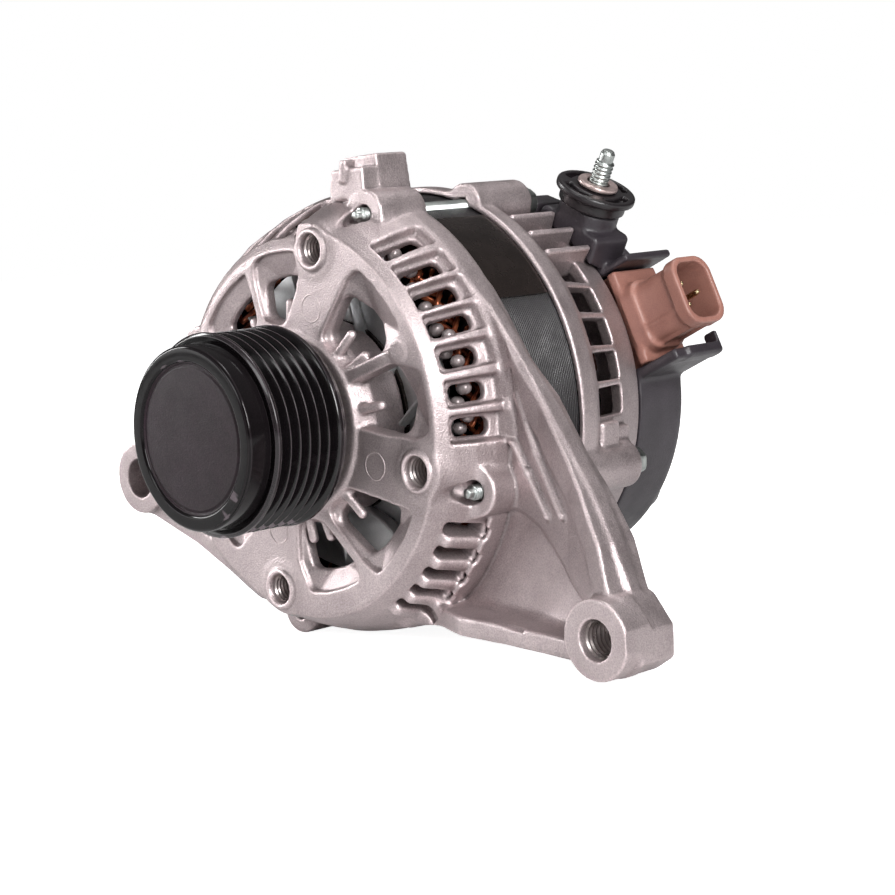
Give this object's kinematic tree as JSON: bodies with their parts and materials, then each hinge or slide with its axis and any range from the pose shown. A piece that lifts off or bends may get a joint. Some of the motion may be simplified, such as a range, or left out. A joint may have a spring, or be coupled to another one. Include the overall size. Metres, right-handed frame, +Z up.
{
  "type": "car alternator",
  "caption": "Car alternator with an overrunning belt pulley, die-cast housings with mounting ears, wound stator, claw-pole rotor, rectifier, brushes and connector.",
  "frame": {"origin": "centre of the bounding box on the floor that the right ear and the housing's belly stand on", "axes": "+Y along the rotor axis from the belt pulley to the rear cover, +Z up, +X towards the long lower mounting arm"},
  "size_m": [0.2142, 0.1536, 0.1441],
  "materials": {
    "cast_aluminium": "die cast, fine grain, satin",
    "bearing_steel": "ground steel",
    "zinc_steel": "zinc plated",
    "pulley_black": "glossy black coating",
    "cap_plastic": "dark purple-grey moulded plastic",
    "copper": "enamelled copper",
    "lamination": "dark varnished laminations",
    "sheet_steel": "dark smooth steel",
    "black_plastic": "moulded plastic",
    "grey_plastic": "dark grey moulded plastic",
    "brown_plastic": "reddish brown moulded plastic",
    "carbon": "pressed carbon",
    "brass": "bright brass"
  },
  "bodies": {
    "housing": {"front_housing": "cast_aluminium", "front_bearing_outer_race": "bearing_steel", "bearing_retainer": "sheet_steel", "retainer_screw_1": "zinc_steel", "retainer_screw_2": "zinc_steel", "retainer_screw_3": "zinc_steel", "retainer_screw_4": "zinc_steel", "stator_core": "lamination", "stator_coil_end_front": "copper", "stator_coil_end_rear": "copper", "stator_side_plate": "sheet_steel", "rear_housing": "cast_aluminium", "rear_bearing_outer_race": "bearing_steel", "through_bolt_1": "zinc_steel", "through_bolt_2": "zinc_steel", "through_bolt_3": "zinc_steel", "through_bolt_4": "zinc_steel", "rectifier_plate_inner": "bearing_steel", "rectifier_plate_outer": "bearing_steel", "rectifier_terminal_block": "black_plastic", "brush_holder": "black_plastic", "brush_spring_front": "bearing_steel", "brush_spring_rear": "bearing_steel", "regulator_connector": "brown_plastic", "connector_pin_1": "brass", "connector_pin_2": "brass", "connector_pin_3": "brass", "rear_cover": "grey_plastic", "cover_nut_1": "zinc_steel", "cover_nut_2": "zinc_steel", "cover_nut_3": "zinc_steel", "terminal_insulator": "black_plastic", "terminal_washer": "zinc_steel", "terminal_stud": "zinc_steel"},
    "rotor": {"rotor_shaft": "bearing_steel", "rotor_pole_front": "sheet_steel", "rotor_pole_rear": "sheet_steel", "rotor_coil": "copper", "front_fan": "bearing_steel", "rear_fan": "bearing_steel", "slip_ring_front": "copper", "slip_ring_rear": "copper", "pulley_hub": "bearing_steel", "front_bearing_inner_race": "bearing_steel", "rear_bearing_inner_race": "bearing_steel"},
    "belt_pulley": {"pulley": "pulley_black", "pulley_dust_cap": "cap_plastic", "pulley_bearing_front": "bearing_steel", "pulley_bearing_rear": "bearing_steel"},
    "clutch_rollers": {"clutch_roller_cage": "bearing_steel"},
    "bearing_balls": {"front_bearing_ball_cage": "bearing_steel"},
    "brush_front": {"brush_front": "carbon"},
    "brush_rear": {"brush_rear": "carbon"}
  },
  "joints": [
    {"name": "rotor_spin", "type": "hinge", "parent": "housing", "child": "rotor", "pos_m": [-0.01789, -0.02731, 0.06706], "axis": [0, 1, 0], "continuous": true},
    {"name": "pulley_overrun", "type": "hinge", "parent": "rotor", "child": "belt_pulley", "pos_m": [-0.01789, -0.056, 0.06706], "axis": [0, 1, 0], "continuous": true},
    {"name": "clutch_roller_orbit", "type": "hinge", "parent": "rotor", "child": "clutch_rollers", "pos_m": [-0.01789, -0.055, 0.06706], "axis": [0, 1, 0], "continuous": true},
    {"name": "bearing_ball_orbit", "type": "hinge", "parent": "housing", "child": "bearing_balls", "pos_m": [-0.01789, -0.02731, 0.06706], "axis": [0, 1, 0], "continuous": true},
    {"name": "brush_front_slide", "type": "slide", "parent": "housing", "child": "brush_front", "axis": [0, 0, 1], "range_m": [0, 0.005], "stiffness_N_per_m": 200, "springref_m": -0.005, "deforming": ["brush_spring_front"]},
    {"name": "brush_rear_slide", "type": "slide", "parent": "housing", "child": "brush_rear", "axis": [0, 0, 1], "range_m": [0, 0.005], "stiffness_N_per_m": 200, "springref_m": -0.005, "deforming": ["brush_spring_rear"]}
  ],
  "couplings": [
    {"joint": "clutch_roller_orbit", "follows": "pulley_overrun", "ratio": 0.6024},
    {"joint": "bearing_ball_orbit", "follows": "rotor_spin", "ratio": 0.3875}
  ]
}
